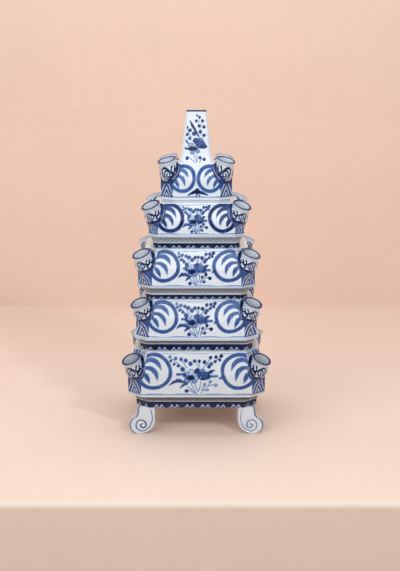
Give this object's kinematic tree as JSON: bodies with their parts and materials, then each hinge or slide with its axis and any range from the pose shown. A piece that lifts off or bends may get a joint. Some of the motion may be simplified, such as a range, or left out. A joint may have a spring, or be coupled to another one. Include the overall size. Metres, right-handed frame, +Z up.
{
  "type": "tulipiere",
  "caption": "Stacked flower pyramid in blue and white tin-glazed pottery: square tapering boxes with tubular corner spouts, an open square neck and scroll feet.",
  "frame": {"origin": "on the floor, under the middle of the stack", "axes": "+Z up, -Y the front as pictured, +X to the right of the front"},
  "size_m": [0.281, 0.281, 0.6099],
  "materials": {
    "glazed_pottery": "glossy white tin glaze painted in cobalt blue"
  },
  "bodies": {
    "tier_1": {"tier_1_base": "glazed_pottery", "tier_1_box": "glazed_pottery", "tier_1_spout_front_left": "glazed_pottery", "tier_1_spout_front_right": "glazed_pottery", "tier_1_spout_back_left": "glazed_pottery", "tier_1_spout_back_right": "glazed_pottery", "foot_front_left": "glazed_pottery", "foot_front_right": "glazed_pottery", "foot_back_left": "glazed_pottery", "foot_back_right": "glazed_pottery"},
    "tier_2": {"tier_2_base": "glazed_pottery", "tier_2_box": "glazed_pottery", "tier_2_spout_front_left": "glazed_pottery", "tier_2_spout_front_right": "glazed_pottery", "tier_2_spout_back_left": "glazed_pottery", "tier_2_spout_back_right": "glazed_pottery"},
    "tier_3": {"tier_3_base": "glazed_pottery", "tier_3_box": "glazed_pottery", "tier_3_spout_front_left": "glazed_pottery", "tier_3_spout_front_right": "glazed_pottery", "tier_3_spout_back_left": "glazed_pottery", "tier_3_spout_back_right": "glazed_pottery"},
    "tier_4": {"tier_4_base": "glazed_pottery", "tier_4_box": "glazed_pottery", "tier_4_spout_front_left": "glazed_pottery", "tier_4_spout_front_right": "glazed_pottery", "tier_4_spout_back_left": "glazed_pottery", "tier_4_spout_back_right": "glazed_pottery"},
    "tier_5": {"tier_5_base": "glazed_pottery", "tier_5_box": "glazed_pottery", "tier_5_spout_front_left": "glazed_pottery", "tier_5_spout_front_right": "glazed_pottery", "tier_5_spout_back_left": "glazed_pottery", "tier_5_spout_back_right": "glazed_pottery", "tier_5_neck": "glazed_pottery"}
  },
  "joints": [
    {"name": "tier_2_lift", "type": "slide", "parent": "tier_1", "child": "tier_2", "axis": [0, 0, 1], "range_m": [0, 0.12]},
    {"name": "tier_3_lift", "type": "slide", "parent": "tier_2", "child": "tier_3", "axis": [0, 0, 1], "range_m": [0, 0.12]},
    {"name": "tier_4_lift", "type": "slide", "parent": "tier_3", "child": "tier_4", "axis": [0, 0, 1], "range_m": [0, 0.12]},
    {"name": "tier_5_lift", "type": "slide", "parent": "tier_4", "child": "tier_5", "axis": [0, 0, 1], "range_m": [0, 0.12]}
  ]
}
